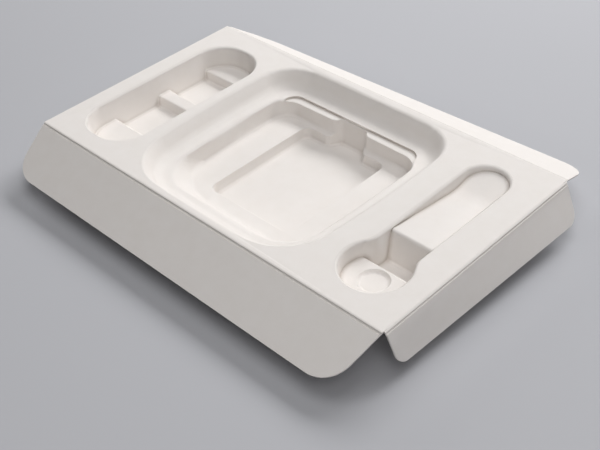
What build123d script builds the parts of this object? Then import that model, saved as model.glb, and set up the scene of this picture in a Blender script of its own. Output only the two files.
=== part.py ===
"""Molded pulp insert: one pressed fibre sheet with three stepped pockets and four folded flaps."""
import os
from math import cos, radians, sin, tan

from build123d import *

# The pressed sheet
wall = 1.0
hair = 0.01
edge_margin = 1.0

# Soft edges: how far each one is eased along both of its faces
rim_ease = 1.6
rim_back_ease = 0.9
deep_foot_ease = 1.5
strip_foot_ease = 2.0
strip_edge_ease = 0.6
lip_ease = 1.5
bar_ease = 0.6
tray_foot_ease = 0.9
dimple_foot_ease = 0.8
step_radius = 1.6

# Depths of the floors below the top of the deck
cove_depth = 12.0
ledge_drop = 1.6
strip_drop = 10.9
deep_drop = 7.5
ledge_depth = cove_depth + ledge_drop
strip_depth = ledge_depth + strip_drop
deep_depth = strip_depth + deep_drop
shelf_depth = 14.3
lower_drop = 6.4
lower_depth = shelf_depth + lower_drop

# Centre pocket: the inner pocket and its floor
inner_back_half = 61.0
inner_narrowing = 3.0
inner_front_half = inner_back_half - inner_narrowing
inner_back = 55.4
inner_front = -62.0
inner_side_bulge = 1.4
inner_back_bulge = 0.6
inner_back_radius = 14.0
inner_front_radius = 25.0
floor_side_inset = 1.2
floor_back_inset = 0.8
floor_front_inset = 10.5
floor_back_radius = 13.0
floor_front_radius = 32.0

# Centre pocket: the coved wall of the bowl, the flat at its foot and the rim above it
cove_draft = 30.0
cove_radius = 10.0
cove_back_corner_flat = 1.8
cove_front_corner_flat = 0.8
cove_back_flat = 7.5
cove_front_flat = 3.3
cove_run = cove_depth * tan(radians(cove_draft)) + cove_radius * tan(radians(45 - cove_draft / 2))
rim_back_half = inner_back_half + cove_back_corner_flat + cove_run
rim_front_half = inner_front_half + cove_front_corner_flat + cove_run
rim_back = inner_back + cove_back_flat + cove_run
rim_front = inner_front - cove_front_flat - cove_run
rim_side_bulge = 3.6
rim_back_bulge = 1.8
rim_back_radius = 26.0
rim_front_radius = 38.0
rim_widest = max(rim_back_half, rim_front_half, (rim_back_half + rim_front_half) / 2 + rim_side_bulge)

# Centre pocket: back ledge, finger notch and the deep recess between the side strips
ledge_side_inset = 3.5
ledge_room = 1.3
ledge_overlap = 15.4
ledge_half = inner_back_half - ledge_side_inset
ledge_back = inner_back + cove_back_flat - ledge_room
ledge_front = inner_back - ledge_overlap
ledge_corner_radius = 9.0
notch_back_half = 11.0
notch_flare = 9.0
notch_strip_flare = 6.0
notch_room = 0.8
notch_overlap = 9.4
notch_front_half = notch_back_half + notch_flare
notch_strip_half = notch_back_half + notch_strip_flare
notch_back = ledge_back - notch_room
notch_front = inner_back - notch_overlap
notch_corner_radius = 4.0
cheek_radius = 4.0
recess_draft = 6.0
deep_half = 35.6
back_strip_width = 4.0
front_strip_width = 11.5
deep_back = inner_back - floor_back_inset - back_strip_width
deep_front = inner_front + floor_front_inset + front_strip_width
deep_corner_radius = 6.0

# Deck: the flat ribs between the pockets and the flat margins round them
left_rib = 9.4
right_rib = 14.5
left_margin = 14.5
right_margin = 16.0
front_margin = 5.25
back_margin = 5.85
tray_width = 49.0
well_radius = 21.2
left_half = rim_widest + left_rib + tray_width + left_margin
right_half = rim_widest + right_rib + 2 * well_radius + right_margin
half_length = max(left_half, right_half)
half_width = max(rim_back + rim_back_bulge + back_margin, front_margin - rim_front)

# Left pocket: long rounded tray with a near shelf, a cross rib and a far shelf
tray_centre_x = -rim_widest - left_rib - tray_width / 2
tray_front_margin = 14.25
tray_back_margin = 18.25
tray_front = tray_front_margin - half_width
tray_back = half_width - tray_back_margin
tray_end_flat = 3.0
tray_end_radius = tray_width / 2 - tray_end_flat
tray_draft = 10.0
near_shelf_length = 30.3
near_shelf_run = 4.9
rib_shift = 2.2
rib_front_run = 2.4
rib_width = 9.4
rib_back_run = 5.0
far_shelf_run = 1.6
far_shelf_length = 20.2
near_shelf_end = tray_front + near_shelf_length
near_shelf_foot = near_shelf_end + near_shelf_run
rib_front = (tray_front + tray_back) / 2 + rib_shift
rib_front_foot = rib_front - rib_front_run
rib_back = rib_front + rib_width
rib_back_foot = rib_back + rib_back_run
far_shelf_end = tray_back - far_shelf_length
far_shelf_foot = far_shelf_end - far_shelf_run

# Right pocket: slot with a tilted floor that opens into a round well
slot_centre_x = rim_widest + right_rib + well_radius
slot_back_margin = 16.25
well_margin = 15.05
slot_shoulder = 6.2
slot_half = well_radius - slot_shoulder
slot_back = half_width - slot_back_margin
well_centre_y = well_margin + well_radius - half_width
neck_radius = 16.0
slot_draft = 6.0
slot_end_depth = 3.2
valley_inset = 25.0
valley_y = slot_back - valley_inset
valley_depth = 8.2
valley_radius = 40.0
platform_reach = 9.6
platform_run = 1.8
trench_length = 13.0
trench_run = 6.1
platform_back = well_centre_y + platform_reach
trench_front = platform_back + platform_run
trench_back = trench_front + trench_length
plateau_front = trench_back + trench_run
plateau_depth = 2.0
plateau_radius = 2.5
platform_depth = 10.5
trench_drop = 9.5
trench_depth = platform_depth + trench_drop
dimple_shift = 1.7
dimple_radius = 9.6
dimple_depth = 1.8
dimple_draft = 35.0

# Flaps: fold angle below the deck, twist from end to end, width, sideways taper and corner radius
fold_radius = 2.4
score_radius = 0.9
score_depth = 0.45
score_offset = 1.5
flap_root = 4.0
flap_overlap = 3.0
flap_end_gap = 0.8
front_fold = 30.0
back_fold = 30.0
back_twist = 5.0
long_flap_width = 39.0
long_flap_taper = 11.5
long_flap_radius = 20.0
end_fold = 68.0
right_twist = -8.0
end_flap_width = 25.0
end_flap_taper = 9.0
end_flap_radius = 9.0

# The base is the underside of the deep recess, so the deck stands this high
deck_height = deep_depth + wall


def level(depth):
    return deck_height - depth


def bowed_outline(back_half, front_half, back, front, side_bulge, back_bulge, back_radius, front_radius,
                  grow):
    """Four-sided outline with bowed back and sides and rounded corners, moved outward by grow."""
    back_corner = Vector(back_half + grow, back + grow)
    front_corner = Vector(front_half + grow, front - grow)
    middle = (back_corner + front_corner) / 2
    with BuildSketch() as outline:
        with BuildLine():
            crown = (0, back_corner.Y + back_bulge)
            ThreePointArc((-back_corner.X, back_corner.Y), crown, back_corner)
            ThreePointArc(back_corner, (middle.X + side_bulge, middle.Y), front_corner)
            Line(front_corner, (-front_corner.X, front_corner.Y))
            ThreePointArc((-front_corner.X, front_corner.Y), (-middle.X - side_bulge, middle.Y),
                          (-back_corner.X, back_corner.Y))
        make_face()
        fillet(outline.vertices().group_by(Axis.Y)[-1], back_radius + grow)
        fillet(outline.vertices().group_by(Axis.Y)[0], front_radius + grow)
    return outline.sketch


def edges_at(plug, height):
    """The edges that lie flat at this height."""
    flat = plug.edges().filter_by(lambda edge: edge.bounding_box().size.Z < hair)
    return flat.filter_by_position(Axis.Z, height - hair, height + hair)


def cheek_edges(plug, low, high, wall_y):
    """The upright edges between two heights where the finger notch breaks through the wall at wall_y."""
    upright = plug.edges().filter_by(lambda edge: edge.bounding_box().size.Z > (high - low) / 2)
    return upright.filter_by(lambda edge: low < edge.center().Z < high
                             and abs(edge.center().X) < notch_front_half
                             and abs(edge.center().Y - wall_y) < notch_corner_radius / 2)


def foot_edges(plug):
    """The edges where the walls that start at the deck meet the floors."""
    below = plug.faces().filter_by(lambda face: face.bounding_box().min.Z < deck_height - hair)
    walls = below.filter_by(lambda face: face.bounding_box().max.Z > deck_height - hair)
    floors = below.filter_by(lambda face: face.bounding_box().max.Z < deck_height - hair)
    wall_edges = walls.edges()
    return floors.edges().filter_by(lambda edge: any(edge.is_same(other) for other in wall_edges))


def softened_pocket(plug, grow, cove, ledge, strip, deep):
    """The centre plug with round notch cheeks, and on the visible side eased feet, lips and edges."""
    wall_foot = inner_back - floor_back_inset
    plug = plug.fillet(cheek_radius - grow, cheek_edges(plug, deep, strip, deep_back + grow))
    plug = plug.fillet(cheek_radius - grow, cheek_edges(plug, strip, ledge, inner_back + grow))
    if grow:
        return plug
    plug = plug.chamfer(deep_foot_ease, None, edges_at(plug, deep))
    strip_feet = edges_at(plug, strip).filter_by(
        lambda edge: abs(edge.center().X) > deep_half + 2 * edge_margin
        or edge.center().Y < deep_front - 2 * edge_margin
        or (edge.center().Y > wall_foot - edge_margin and abs(edge.center().X) > notch_strip_half))
    plug = plug.chamfer(strip_foot_ease, None, strip_feet)
    recess_rim = edges_at(plug, strip).filter_by(
        lambda edge: abs(edge.center().X) < deep_half + edge_margin
        and deep_front - edge_margin < edge.center().Y < deep_back + edge_margin / 2)
    plug = plug.chamfer(strip_edge_ease, None, recess_rim)
    flats = plug.faces().filter_by(GeomType.PLANE)
    cove_floor = flats.filter_by_position(Axis.Z, cove - hair, cove + hair)[0]
    lips = cove_floor.inner_wires()[0].edges().filter_by(lambda edge: edge.center().Y < deep_back)
    plug = plug.chamfer(lip_ease, None, lips)
    bars = edges_at(plug, ledge).filter_by(
        lambda edge: abs(edge.center().Y - inner_back) < edge_margin
        and notch_strip_half < abs(edge.center().X) < ledge_half)
    return plug.chamfer(bar_ease, None, bars)


def centre_pocket(grow):
    """The centre pocket as a solid plug, with every face moved outward by grow."""
    rim_grow = grow / cos(radians(cove_draft))
    cove = level(cove_depth) - grow
    ledge = level(ledge_depth) - grow
    strip = level(strip_depth) - grow
    deep = level(deep_depth) - grow
    with BuildPart() as plug:
        with BuildSketch(Plane.XY.offset(deck_height)):
            add(bowed_outline(rim_back_half, rim_front_half, rim_back, rim_front, rim_side_bulge,
                              rim_back_bulge, rim_back_radius, rim_front_radius, rim_grow))
        extrude(amount=cove - deck_height, taper=cove_draft)
        fillet(edges_at(plug, cove), cove_radius + grow)
        with BuildSketch(Plane.XY.offset(cove)):
            add(bowed_outline(inner_back_half, inner_front_half, inner_back, inner_front, inner_side_bulge,
                              inner_back_bulge, inner_back_radius, inner_front_radius, grow))
        with BuildSketch(Plane.XY.offset(strip)):
            add(bowed_outline(inner_back_half - floor_side_inset, inner_front_half - floor_side_inset,
                              inner_back - floor_back_inset, inner_front + floor_front_inset,
                              inner_side_bulge, inner_back_bulge, floor_back_radius, floor_front_radius,
                              grow))
        loft(ruled=True)
        with BuildSketch(Plane.XY.offset(cove)):
            with Locations((0, (ledge_back + ledge_front) / 2)):
                RectangleRounded(2 * (ledge_half + grow), ledge_back - ledge_front + 2 * grow,
                                 ledge_corner_radius + grow)
        extrude(amount=ledge - cove)
        with BuildSketch(Plane.XY.offset(strip)):
            with Locations((0, (deep_back + deep_front) / 2)):
                RectangleRounded(2 * (deep_half + grow), deep_back - deep_front + 2 * grow,
                                 deep_corner_radius + grow)
        extrude(amount=deep - strip, taper=recess_draft)
        with BuildSketch(Plane.XY.offset(ledge)) as notch:
            with BuildLine():
                Polyline((-notch_back_half - grow, notch_back + grow),
                         (notch_back_half + grow, notch_back + grow),
                         (notch_front_half + grow, notch_front), (-notch_front_half - grow, notch_front),
                         close=True)
            make_face()
            fillet(notch.vertices().group_by(Axis.Y)[-1], notch_corner_radius + grow)
        extrude(amount=deep - ledge, taper=recess_draft)
    return softened_pocket(plug.part.solids()[0], grow, cove, ledge, strip, deep)


def floor_profile(bends, grow):
    """Side view of the space above a stepped floor, with rounded bends, its edge moved outward by grow."""
    with BuildSketch() as profile:
        with BuildLine():
            Polyline(*[point for point, radius in bends], close=True)
        make_face()
        for point, radius in bends:
            if radius:
                fillet(profile.vertices().sort_by_distance(point)[0], radius)
        if grow:
            offset(amount=grow, kind=Kind.INTERSECTION)
    return profile.sketch


def left_pocket(grow):
    """The long left pocket as a solid plug, with every face moved outward by grow."""
    shelf = level(shelf_depth)
    lower = level(lower_depth)
    rim_grow = grow / cos(radians(tray_draft))
    past = tray_width
    steps = [((near_shelf_end, shelf), step_radius), ((near_shelf_foot, lower), step_radius),
             ((rib_front_foot, lower), step_radius), ((rib_front, shelf), step_radius),
             ((rib_back, shelf), step_radius), ((rib_back_foot, lower), step_radius),
             ((far_shelf_foot, lower), step_radius), ((far_shelf_end, shelf), step_radius),
             ((tray_back + past, shelf), 0), ((tray_back + past, deck_height), 0),
             ((tray_front - past, deck_height), 0), ((tray_front - past, shelf), 0)]
    with BuildPart() as plug:
        with BuildSketch(Plane.XY.offset(deck_height)):
            with Locations((tray_centre_x, (tray_front + tray_back) / 2)):
                RectangleRounded(tray_width + 2 * rim_grow, tray_back - tray_front + 2 * rim_grow,
                                 tray_end_radius + rim_grow)
        extrude(amount=-lower_depth - 2 * grow, taper=tray_draft)
        with BuildSketch(Plane.YZ.offset(tray_centre_x)):
            add(floor_profile(steps, grow))
        extrude(amount=past, both=True, mode=Mode.INTERSECT)
    tray = plug.part.solids()[0]
    return tray if grow else tray.chamfer(tray_foot_ease, None, foot_edges(tray))


def right_pocket(grow):
    """The keyhole pocket as a solid plug, with every face moved outward by grow."""
    rim_grow = grow / cos(radians(slot_draft))
    past = slot_back - well_centre_y
    slot_end_y = slot_back - slot_half
    steps = [((slot_back, level(slot_end_depth)), step_radius),
             ((valley_y, level(valley_depth)), valley_radius),
             ((plateau_front, level(plateau_depth)), plateau_radius),
             ((trench_back, level(trench_depth)), step_radius),
             ((trench_front, level(trench_depth)), step_radius),
             ((platform_back, level(platform_depth)), step_radius),
             ((well_centre_y - past, level(platform_depth)), 0), ((well_centre_y - past, deck_height), 0),
             ((slot_back + past, deck_height), 0), ((slot_back + past, level(slot_end_depth)), 0)]
    with BuildPart() as plug:
        with BuildSketch(Plane.XY.offset(deck_height)) as keyhole:
            with Locations((slot_centre_x, (slot_end_y + well_centre_y) / 2)):
                Rectangle(2 * (slot_half + rim_grow), slot_end_y - well_centre_y)
            with Locations((slot_centre_x, slot_end_y)):
                Circle(slot_half + rim_grow)
            with Locations((slot_centre_x, well_centre_y)):
                Circle(well_radius + rim_grow)
            neck_y = well_centre_y + (well_radius**2 - slot_half**2) ** 0.5
            necks = keyhole.vertices().sort_by(lambda vertex: abs(vertex.Y - neck_y))[:2]
            fillet(necks, neck_radius - rim_grow)
        extrude(amount=-trench_depth - 2 * grow, taper=slot_draft)
        with BuildSketch(Plane.YZ.offset(slot_centre_x)):
            add(floor_profile(steps, grow))
        extrude(amount=past, both=True, mode=Mode.INTERSECT)
        with BuildSketch(Plane.XY.offset(level(platform_depth))):
            with Locations((slot_centre_x, well_centre_y - dimple_shift)):
                Circle(dimple_radius + grow)
        extrude(amount=-dimple_depth - grow, taper=dimple_draft)
        if not grow:
            chamfer(edges_at(plug, level(platform_depth + dimple_depth)), dimple_foot_ease)
    return plug.part


def folded_flap(outward, half_length, reach, fold, twist, width, taper, corner_radius):
    """A flap with its bend and score line on the deck edge that faces outward, its leaf slightly twisted."""
    along = Vector(0, 0, 1).cross(outward)
    crease = outward * reach + Vector(0, 0, deck_height)
    down_leaf = Vector(cos(radians(fold)), -sin(radians(fold)))
    off_leaf = Vector(sin(radians(fold)), cos(radians(fold)))
    leaf = Plane(origin=crease, x_dir=along, z_dir=outward * off_leaf.X + Vector(0, 0, off_leaf.Y))
    free_half = half_length - width * tan(radians(taper))
    with BuildPart() as flap:
        with BuildSketch(Plane(origin=crease, x_dir=outward, z_dir=-along)):
            with BuildLine():
                FilletPolyline((-flap_overlap, 0), (0, 0), down_leaf * flap_root, radius=fold_radius)
                offset(amount=wall, side=Side.RIGHT)
            make_face()
            with Locations(down_leaf * score_offset + off_leaf * (score_radius - score_depth)):
                Circle(score_radius, mode=Mode.SUBTRACT)
        extrude(amount=half_length, both=True)
        for place, turn in ((-half_length, twist), (half_length, -twist)):
            tip = down_leaf.rotate(Axis.Z, turn) * (width - flap_root)
            with BuildSketch(Plane(origin=crease + along * place, x_dir=outward, z_dir=-along)):
                with BuildLine():
                    top = down_leaf * flap_root
                    Polyline(top, top + tip, top + tip - off_leaf * wall, top - off_leaf * wall, close=True)
                make_face()
        loft(ruled=True)
        with BuildSketch(leaf) as outline:
            with BuildLine():
                Polyline((-half_length, 2 * flap_overlap), (-half_length, 0), (-free_half, -width),
                         (free_half, -width), (half_length, 0), (half_length, 2 * flap_overlap), close=True)
            make_face()
            fillet(outline.vertices().group_by(Axis.Y)[0], corner_radius)
        extrude(amount=width, both=True, mode=Mode.INTERSECT)
    return flap.part


end_bend = fold_radius * tan(radians(end_fold / 2))
long_bend = fold_radius * tan(radians(front_fold / 2))

with BuildPart() as pulp_tray:
    with BuildSketch(Plane.XY.offset(deck_height)):
        Rectangle(2 * (half_length - end_bend), 2 * (half_width - long_bend))
    extrude(amount=-wall)
    long_flaps = ((Vector(0, -1, 0), front_fold, 0), (Vector(0, 1, 0), back_fold, back_twist))
    for outward, fold, twist in long_flaps:
        add(folded_flap(outward, half_length - flap_end_gap, half_width, fold, twist, long_flap_width,
                        long_flap_taper, long_flap_radius))
    for outward, twist in ((Vector(-1, 0, 0), 0), (Vector(1, 0, 0), right_twist)):
        add(folded_flap(outward, half_width - flap_end_gap, half_length, end_fold, twist, end_flap_width,
                        end_flap_taper, end_flap_radius))
    add(centre_pocket(wall))
    add(left_pocket(wall))
    add(right_pocket(wall))
    add(centre_pocket(0), mode=Mode.SUBTRACT)
    add(left_pocket(0), mode=Mode.SUBTRACT)
    add(right_pocket(0), mode=Mode.SUBTRACT)
    for height, ease in ((deck_height - wall, rim_back_ease), (deck_height, rim_ease)):
        flat = pulp_tray.faces().filter_by(Axis.Z).filter_by_position(Axis.Z, height - hair, height + hair)
        rims = flat.sort_by(SortBy.AREA)[-1].inner_wires()
        chamfer(rims.edges(), ease)

pulp_tray.part.label = "pulp_tray"
os.makedirs("parts", exist_ok=True)
export_step(pulp_tray.part, "parts/pulp_tray.step")
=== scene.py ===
# %% [markdown]
# # A molded pulp insert
#
# The insert is one sheet of pressed plant fibre: a flat deck with three pockets pushed down into it and four
# flaps folded along its edges. The solid model arrives as a fixed frame in metres. This lesson dresses it: it
# softens the pressed edges, gives the fibre its dry felt finish, and sets up a quiet studio with the camera
# at the height and angle of a person looking down at a table.

# %% Load the frame
from itertools import combinations
from math import cos, radians, sin

import bmesh
import bpy
from mathutils import Matrix, Vector


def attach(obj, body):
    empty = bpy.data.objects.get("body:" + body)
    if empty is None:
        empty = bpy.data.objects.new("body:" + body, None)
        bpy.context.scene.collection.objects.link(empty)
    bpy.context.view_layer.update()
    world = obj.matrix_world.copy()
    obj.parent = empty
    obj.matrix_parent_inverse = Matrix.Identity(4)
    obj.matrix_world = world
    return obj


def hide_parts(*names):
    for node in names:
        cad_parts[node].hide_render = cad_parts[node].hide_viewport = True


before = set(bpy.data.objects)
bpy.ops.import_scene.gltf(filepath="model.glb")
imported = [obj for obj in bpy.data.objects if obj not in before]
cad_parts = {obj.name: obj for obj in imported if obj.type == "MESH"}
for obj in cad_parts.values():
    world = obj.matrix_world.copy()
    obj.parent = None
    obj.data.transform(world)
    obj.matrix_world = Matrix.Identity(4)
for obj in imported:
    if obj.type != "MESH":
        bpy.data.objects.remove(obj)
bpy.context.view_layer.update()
tray_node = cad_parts["pulp_tray"]
print("solid tray:", len(tray_node.data.polygons), "triangles")

# %% [markdown]
# ## The pressed sheet
#
# On the real tray no edge is sharp: wet fibre can't fill a sharp corner of the mould, so rims, lips and feet
# come out round. The solid already has those edges eased. Its mesh is loose triangles, so a copy is merged
# first, and the shading that came with it is cleared.

# %% Copy the tray and merge its triangles
merge_distance = 0.00001
soft_angle = radians(50)

bpy.ops.object.select_all(action="DESELECT")
tray_node.select_set(True)
bpy.context.view_layer.objects.active = tray_node
bpy.ops.object.duplicate()
tray = bpy.context.view_layer.objects.active
tray.name = "pressed_tray"
bpy.ops.object.mode_set(mode="EDIT")
bpy.ops.mesh.select_all(action="SELECT")
bpy.ops.mesh.remove_doubles(threshold=merge_distance)
bpy.ops.object.mode_set(mode="OBJECT")
bpy.ops.mesh.customdata_custom_splitnormals_clear()
bpy.ops.object.shade_smooth_by_angle(angle=soft_angle)
print("pressed tray:", len(tray.data.vertices), "points")

# %% [markdown]
# Smooth shading alone would drag the light round every edge and make the flat floors look dented. A bevel
# could round the edges, but it breaks on a mesh of long thin triangles. Weighted normals do it without new
# faces: the flat faces lead, the curved walls follow them, and the narrow eased bands only turn between the
# two. So the faces are first sorted by how they hang together. Where two wide faces meet at one point with no
# band between them, the shading is split there.

# %% Helpers that group faces
bend_angle = radians(20)


def bend(edge):
    """The angle between the two faces at an edge, 0 at an open one."""
    return edge.calc_face_angle(0)


def patches(faces, angle):
    """Groups of faces that hang together over bends below the angle."""
    waiting = set(faces)
    while waiting:
        group = [waiting.pop()]
        for face in group:
            for edge in face.edges:
                if bend(edge) < angle:
                    fresh = waiting.intersection(edge.link_faces)
                    waiting.difference_update(fresh)
                    group.extend(fresh)
        yield group


def total_area(group):
    """The area of a group of faces."""
    return sum(face.calc_area() for face in group)


def mean_width(group):
    """The mean width of a group, from its area and its rim."""
    edges = [edge for face in group for edge in face.edges]
    rim = sum(edge.calc_length() for edge in edges if bend(edge) >= bend_angle)
    return 2 * total_area(group) / max(rim, merge_distance)


def set_strength(numbers, strength):
    """Give the numbered faces a say in the shading."""
    bpy.ops.mesh.select_all(action="DESELECT")
    for face in bmesh.from_edit_mesh(tray.data).faces:
        face.select_set(face.index in numbers)
    bpy.ops.mesh.mod_weighted_strength(set=True, face_strength=strength)


# %% Sort the faces into flats, curved walls and narrow eased bands
flat_angle = radians(0.5)
flat_area = 0.00003
band_width = 0.0018

bpy.ops.object.mode_set(mode="EDIT")
bpy.ops.mesh.select_mode(type="FACE")
sheet = bmesh.from_edit_mesh(tray.data)
flats = set()
for group in patches(sheet.faces, flat_angle):
    if total_area(group) > flat_area:
        flats.update(face.index for face in group)
bands = set()
for group in patches(sheet.faces, bend_angle):
    if mean_width(group) < band_width:
        bands.update(face.index for face in group)
print("faces:", len(sheet.faces), "flat:", len(flats), "in bands:", len(bands))
set_strength(bands, "WEAK")
set_strength(flats - bands, "STRONG")

# %% Split the shading where two wide faces meet at one point
bpy.ops.mesh.select_mode(type="EDGE")
bpy.ops.mesh.select_all(action="DESELECT")
sheet = bmesh.from_edit_mesh(tray.data)
for point in sheet.verts:
    turns = [face.normal for face in point.link_faces if face.index not in bands]
    if any(one.angle(other) > soft_angle for one, other in combinations(turns, 2)):
        for edge in point.link_edges:
            if bend(edge) > bend_angle:
                edge.select_set(True)
print("split edges:", sum(edge.select for edge in sheet.edges))
bpy.ops.mesh.mark_sharp()
bpy.ops.object.mode_set(mode="OBJECT")

# %% Let the flat faces lead the shading
weights = tray.modifiers.new("flat_faces_lead", "WEIGHTED_NORMAL")
weights.mode = "FACE_AREA"
weights.keep_sharp = True
weights.use_face_influence = True
bpy.ops.object.modifier_apply(modifier=weights.name)
print("weighted normals:", tray.data.has_custom_normals)

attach(tray, "root")
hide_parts("pulp_tray")

# %% [markdown]
# ## The pulp finish
#
# Pressed pulp is an off-white felt: dry, without gloss, a little warm. Two things show on it. Faint cloudy
# patches lie where the wet fibre was thicker, so a slow noise moves the colour by a few percent. Matted
# fibres give a fine grain, which is too small to model, so it is bump from two noises, one for the fibres and
# one for the felt's slow swell. Shade is painted into the creases as well: the foot of each wall is painted a
# little darker, and the scored line of each fold clearly darker. Ambient occlusion over a few millimetres
# finds the feet by the shape alone. Over one millimetre it finds the folds, and a lower limit just below the
# deck keeps that painted darker line out of the pockets.

# %% Helpers for node materials


def new_material(name):
    """An empty node material with its shader and output in place."""
    material = bpy.data.materials.new(name)
    material.use_nodes = True
    nodes = material.node_tree.nodes
    return material, nodes, material.node_tree.links, nodes["Principled BSDF"]


def noise(nodes, links, source, scale, detail, roughness):
    """A noise texture on the given coordinates."""
    node = nodes.new("ShaderNodeTexNoise")
    node.inputs["Scale"].default_value = scale
    node.inputs["Detail"].default_value = detail
    node.inputs["Roughness"].default_value = roughness
    links.new(source, node.inputs["Vector"])
    return node.outputs["Fac"]


def ramp(nodes, links, source, low, high, low_color, high_color):
    """A colour ramp between two stops."""
    node = nodes.new("ShaderNodeValToRGB")
    node.color_ramp.elements[0].position = low
    node.color_ramp.elements[0].color = (*low_color, 1)
    node.color_ramp.elements[1].position = high
    node.color_ramp.elements[1].color = (*high_color, 1)
    links.new(source, node.inputs["Fac"])
    return node.outputs["Color"]


def map_range(nodes, links, source, start, end):
    """A share that grows from 0 to 1 between two values of the source."""
    node = nodes.new("ShaderNodeMapRange")
    node.inputs["From Min"].default_value = start
    node.inputs["From Max"].default_value = end
    links.new(source, node.inputs["Value"])
    return node


def creases(nodes, links, color, reach, closed, opened, painted_shade):
    """The colour with painted shade: darker where the surface closes in on itself within reach."""
    node = nodes.new("ShaderNodeAmbientOcclusion")
    node.only_local = True
    node.samples = 8
    node.inputs["Distance"].default_value = reach
    shade = ramp(nodes, links, node.outputs["AO"], closed, opened, painted_shade, (1, 1, 1))
    darker = nodes.new("ShaderNodeMix")
    darker.data_type = "RGBA"
    darker.blend_type = "MULTIPLY"
    darker.inputs["Factor"].default_value = 1
    links.new(color, darker.inputs["A"])
    links.new(shade, darker.inputs["B"])
    return darker


def bump(nodes, links, source, strength, distance):
    """A bump node that reads a height."""
    node = nodes.new("ShaderNodeBump")
    node.inputs["Strength"].default_value = strength
    node.inputs["Distance"].default_value = distance
    links.new(source, node.inputs["Height"])
    return node


# %% Pressed pulp
thin_fibre = (0.845, 0.802, 0.766)
thick_fibre = (0.865, 0.825, 0.794)
# painted shade at the feet of the walls
foot_painted_shade = (0.74, 0.71, 0.68)
# painted shade along the scored fold lines
fold_painted_shade = (0.45, 0.42, 0.39)
foot_reach = 0.0045
fold_reach = 0.0014
fold_low = 0.029
fold_high = 0.030


def pressed_pulp():
    """Off-white felted fibre with faint clouds, painted shade in its creases and a fine grain."""
    material, nodes, links, shader = new_material("pressed_pulp")
    place = nodes.new("ShaderNodeTexCoord").outputs["Object"]
    clouds = noise(nodes, links, place, scale=90, detail=5, roughness=0.6)
    tone = ramp(nodes, links, clouds, 0.3, 0.7, thin_fibre, thick_fibre)

    # painted shade at the feet of the walls, then along the scored folds
    feet = creases(nodes, links, tone, foot_reach, closed=0.5, opened=0.86, painted_shade=foot_painted_shade)
    folds = creases(nodes, links, feet.outputs["Result"], fold_reach, closed=0.6, opened=0.9, painted_shade=fold_painted_shade)
    # the painted fold shade is kept to heights near the deck
    height = nodes.new("ShaderNodeSeparateXYZ")
    links.new(place, height.inputs["Vector"])
    near_deck = map_range(nodes, links, height.outputs["Z"], fold_low, fold_high)
    links.new(near_deck.outputs["Result"], folds.inputs["Factor"])
    links.new(folds.outputs["Result"], shader.inputs["Base Color"])

    shader.inputs["Roughness"].default_value = 0.85
    shader.inputs["Specular IOR Level"].default_value = 0.25
    felt = noise(nodes, links, place, scale=220, detail=3, roughness=0.5)
    fibres = noise(nodes, links, place, scale=1400, detail=5, roughness=0.65)
    swell = bump(nodes, links, felt, strength=0.08, distance=0.0006)
    grain = bump(nodes, links, fibres, strength=0.12, distance=0.0004)
    links.new(swell.outputs["Normal"], grain.inputs["Normal"])
    links.new(grain.outputs["Normal"], shader.inputs["Normal"])
    return material


tray.data.materials.clear()
tray.data.materials.append(pressed_pulp())
print("finish:", [material.name for material in tray.data.materials])

# %% [markdown]
# ## Table, light and camera
#
# The table is a plain cool grey. Round the tray it takes light and shadow. Further out the lamps leave it
# dark, so there it fades to an even pale grey, and the room beyond it has the same grey. Light Path shows
# that grey only to rays that look at it straight, in a mirror or through glass, so it lends the tray no more
# than a faint sheen.

# %% Helpers for a backdrop that only shows
backdrop_color = (0.48, 0.484, 0.508, 1)


def looked_at(nodes, links):
    """1 for rays that look straight, in a mirror or through glass, 0 for light that spreads."""
    rays = nodes.new("ShaderNodeLightPath")
    seen = rays.outputs["Is Camera Ray"]
    for kind in ("Is Glossy Ray", "Is Transmission Ray"):
        either = nodes.new("ShaderNodeMath")
        either.operation = "MAXIMUM"
        links.new(seen, either.inputs[0])
        links.new(rays.outputs[kind], either.inputs[1])
        seen = either.outputs["Value"]
    return seen


def mix_shaders(nodes, links, share, first, second, output):
    """Send a mix of two shaders to an output node."""
    node = nodes.new("ShaderNodeMixShader")
    links.new(share, node.inputs["Fac"])
    links.new(first.outputs[0], node.inputs[1])
    links.new(second.outputs[0], node.inputs[2])
    links.new(node.outputs["Shader"], output.inputs["Surface"])


# %% Table
table_size = 6
table_color = (0.515, 0.518, 0.545, 1)
fade_start = 0.5
fade_end = 1.0


def table_grey():
    """Matt grey that fades to the backdrop's grey away from the tray."""
    material, nodes, links, shader = new_material("table_grey")
    shader.inputs["Base Color"].default_value = table_color
    shader.inputs["Roughness"].default_value = 0.9
    shader.inputs["Specular IOR Level"].default_value = 0.1
    backdrop = nodes.new("ShaderNodeEmission")
    backdrop.inputs["Color"].default_value = backdrop_color
    distance = nodes.new("ShaderNodeVectorMath")
    distance.operation = "LENGTH"
    links.new(nodes.new("ShaderNodeTexCoord").outputs["Object"], distance.inputs[0])
    fade = map_range(nodes, links, distance.outputs["Value"], fade_start, fade_end)
    fade.interpolation_type = "SMOOTHSTEP"
    share = nodes.new("ShaderNodeMath")
    share.operation = "MULTIPLY"
    links.new(fade.outputs["Result"], share.inputs[0])
    links.new(looked_at(nodes, links), share.inputs[1])
    mix_shaders(nodes, links, share.outputs["Value"], shader, backdrop, nodes["Material Output"])
    return material


bpy.ops.object.select_all(action="DESELECT")
bpy.ops.mesh.primitive_plane_add(size=table_size, location=(0, 0, 0))
table = bpy.context.object
table.name = "table"
table.data.materials.append(table_grey())
print("table:", list(table.dimensions))

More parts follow.
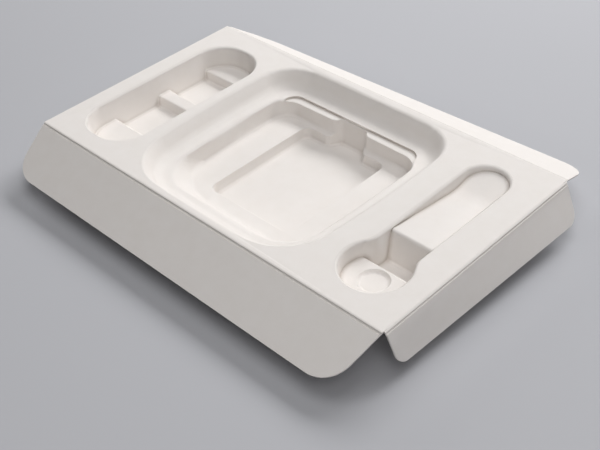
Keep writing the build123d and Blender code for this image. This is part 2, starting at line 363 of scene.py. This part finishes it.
# %% Room
room = bpy.data.worlds.new("room")
bpy.context.scene.world = room
room.use_nodes = True
nodes = room.node_tree.nodes
links = room.node_tree.links
room_light = nodes["Background"]
room_light.inputs["Color"].default_value = (1, 1, 1, 1)
room_light.inputs["Strength"].default_value = 0.02
backdrop = nodes.new("ShaderNodeBackground")
backdrop.inputs["Color"].default_value = backdrop_color
mix_shaders(nodes, links, looked_at(nodes, links), room_light, backdrop, nodes["World Output"])
print("room:", len(nodes), "nodes")

# %% [markdown]
# A soft window stands behind the tray, low enough to leave the front flap in shade. A ceiling light opens up
# the floors of the pockets, a weak bounce from the front right keeps the walls that face the camera from
# going black, and a low light from the left does the same for the far cheeks of the notch and the ribs.

# %% Light
lamp_distance = 1.6


def soft_light(name, azimuth, elevation, width, height, power):
    """An oblong light that faces the tray from a direction given in degrees."""
    bpy.ops.object.light_add(type="AREA")
    lamp = bpy.context.object
    lamp.name = name
    lamp.data.shape = "RECTANGLE"
    lamp.data.size = width
    lamp.data.size_y = height
    lamp.data.energy = power
    turn = radians(azimuth)
    rise = radians(elevation)
    away = Vector((sin(turn) * cos(rise), cos(turn) * cos(rise), sin(rise)))
    lamp.location = away * lamp_distance
    lamp.rotation_euler = away.to_track_quat("Z", "Y").to_euler()


soft_light("window", azimuth=-4, elevation=40, width=1.1, height=0.6, power=18.0)
soft_light("ceiling", azimuth=0, elevation=88, width=1.0, height=1.0, power=6.7)
soft_light("bounce", azimuth=125, elevation=46, width=0.9, height=1.2, power=7.0)
soft_light("side", azimuth=-62, elevation=23, width=0.8, height=0.8, power=4.4)

# %% [markdown]
# The camera stands to the front right, about two thirds of a metre away, and looks down on the deck. Its
# place and its right and up directions are given whole, so the deck's four corners fall where they should in
# the frame. Depth of field stays off.

# %% Camera
camera_place = Vector((0.39228, -0.36224, 0.41088))
camera_right = Vector((0.71453, 0.69736, -0.05603))
camera_up = Vector((-0.41424, 0.48626, 0.76939))
camera_back = camera_right.cross(camera_up)
focal_pixels = 1033.63
frame_pixels = 600

camera_data = bpy.data.cameras.new("camera")
camera = bpy.data.objects.new("camera", camera_data)
bpy.context.scene.collection.objects.link(camera)
facing = Matrix((camera_right, camera_up, camera_back)).transposed()
camera.matrix_world = Matrix.Translation(camera_place) @ facing.to_4x4()
camera_data.sensor_fit = "HORIZONTAL"
camera_data.lens = focal_pixels / frame_pixels * camera_data.sensor_width
bpy.context.scene.camera = camera
bpy.context.scene.view_settings.view_transform = "Standard"
print("lens:", camera_data.lens, "mm, distance:", camera_place.length, "m")
